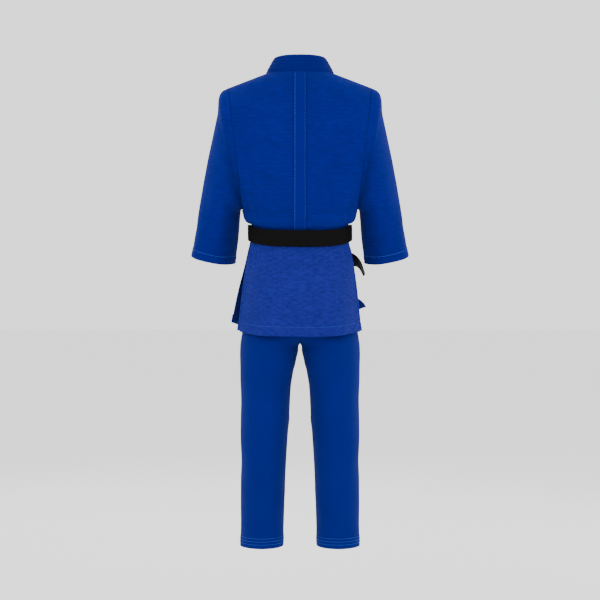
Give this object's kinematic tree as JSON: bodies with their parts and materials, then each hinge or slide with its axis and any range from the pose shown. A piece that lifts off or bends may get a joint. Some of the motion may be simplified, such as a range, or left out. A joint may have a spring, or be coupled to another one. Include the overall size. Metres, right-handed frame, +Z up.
{
  "type": "martial arts uniform",
  "caption": "Blue judo uniform in its worn shape: belted wrap jacket with wide sleeves and split skirt, black belt and straight trousers.",
  "frame": {"origin": "middle of the neck, level with the points where the shoulders meet the collar", "axes": "+Z up, the wearer faces -Y, the wearer's left is +X"},
  "size_m": [0.6468, 0.2992, 1.419],
  "materials": {
    "jacket_weave": "pearl weave cotton, matt",
    "jacket_band": "stitched cotton band, matt",
    "skirt_quilt": "diamond quilted cotton, matt",
    "lining": "plain cotton, matt",
    "trouser_cloth": "plain twill cotton, matt",
    "belt_cotton": "row stitched cotton, matt"
  },
  "bodies": {
    "jacket": {"back_panel_left": "jacket_weave", "back_panel_right": "jacket_weave", "centre_back_tape": "jacket_band", "front_panel_left": "jacket_weave", "front_panel_right": "jacket_weave", "lapel_left": "jacket_band", "lapel_right": "jacket_band", "neck_band": "jacket_band", "yoke_lining": "lining", "waist_tape": "lining", "belt_inner_wrap": "belt_cotton", "belt_outer_wrap": "belt_cotton", "belt_knot": "belt_cotton"},
    "sleeve_left": {"left_sleeve": "jacket_weave", "left_cuff_facing": "lining"},
    "sleeve_right": {"right_sleeve": "jacket_weave", "right_cuff_facing": "lining"},
    "skirt_rear": {"skirt_back": "skirt_quilt"},
    "skirt_under": {"skirt_front_right": "skirt_quilt", "skirt_lapel_right": "jacket_band"},
    "skirt_over": {"skirt_front_left": "skirt_quilt", "skirt_lapel_left": "jacket_band"},
    "tail_left": {"belt_tail_left": "belt_cotton"},
    "tail_right": {"belt_tail_right": "belt_cotton"},
    "trousers": {"waistband": "trouser_cloth", "drawcord_loops": "trouser_cloth", "seat_left": "trouser_cloth", "seat_right": "trouser_cloth"},
    "leg_left": {"left_leg": "trouser_cloth", "left_knee_patch": "trouser_cloth", "left_leg_hem": "trouser_cloth"},
    "leg_right": {"right_leg": "trouser_cloth", "right_knee_patch": "trouser_cloth", "right_leg_hem": "trouser_cloth"}
  },
  "joints": [
    {"name": "sleeve_left_raise", "type": "hinge", "parent": "jacket", "child": "sleeve_left", "pos_m": [0.205, 0, -0.04], "axis": [0, -1, 0], "range_deg": [0, 45]},
    {"name": "sleeve_right_raise", "type": "hinge", "parent": "jacket", "child": "sleeve_right", "pos_m": [-0.205, 0, -0.04], "axis": [0, 1, 0], "range_deg": [0, 45]},
    {"name": "skirt_rear_lift", "type": "hinge", "parent": "jacket", "child": "skirt_rear", "pos_m": [0, 0.103, -0.5045], "axis": [1, 0, 0], "range_deg": [0, 50]},
    {"name": "skirt_under_lift", "type": "hinge", "parent": "jacket", "child": "skirt_under", "pos_m": [0, -0.156, -0.47], "axis": [-1, 0, 0], "range_deg": [0, 30]},
    {"name": "skirt_over_lift", "type": "hinge", "parent": "skirt_under", "child": "skirt_over", "pos_m": [0, -0.156, -0.47], "axis": [-1, 0, 0], "range_deg": [0, 25]},
    {"name": "tail_left_lift", "type": "hinge", "parent": "skirt_over", "child": "tail_left", "pos_m": [0, -0.156, -0.49], "axis": [-1, 0, 0], "range_deg": [0, 30]},
    {"name": "tail_right_lift", "type": "hinge", "parent": "skirt_over", "child": "tail_right", "pos_m": [0, -0.156, -0.49], "axis": [-1, 0, 0], "range_deg": [0, 30]},
    {"name": "trousers_off", "type": "slide", "parent": "jacket", "child": "trousers", "axis": [0, 0, -1], "range_m": [0, 0.4]},
    {"name": "leg_left_swing", "type": "hinge", "parent": "trousers", "child": "leg_left", "pos_m": [0.104, -0.0085, -0.889], "axis": [-1, 0, 0], "range_deg": [-20, 20]},
    {"name": "leg_right_swing", "type": "hinge", "parent": "trousers", "child": "leg_right", "pos_m": [-0.104, -0.0085, -0.889], "axis": [-1, 0, 0], "range_deg": [-20, 20]}
  ]
}
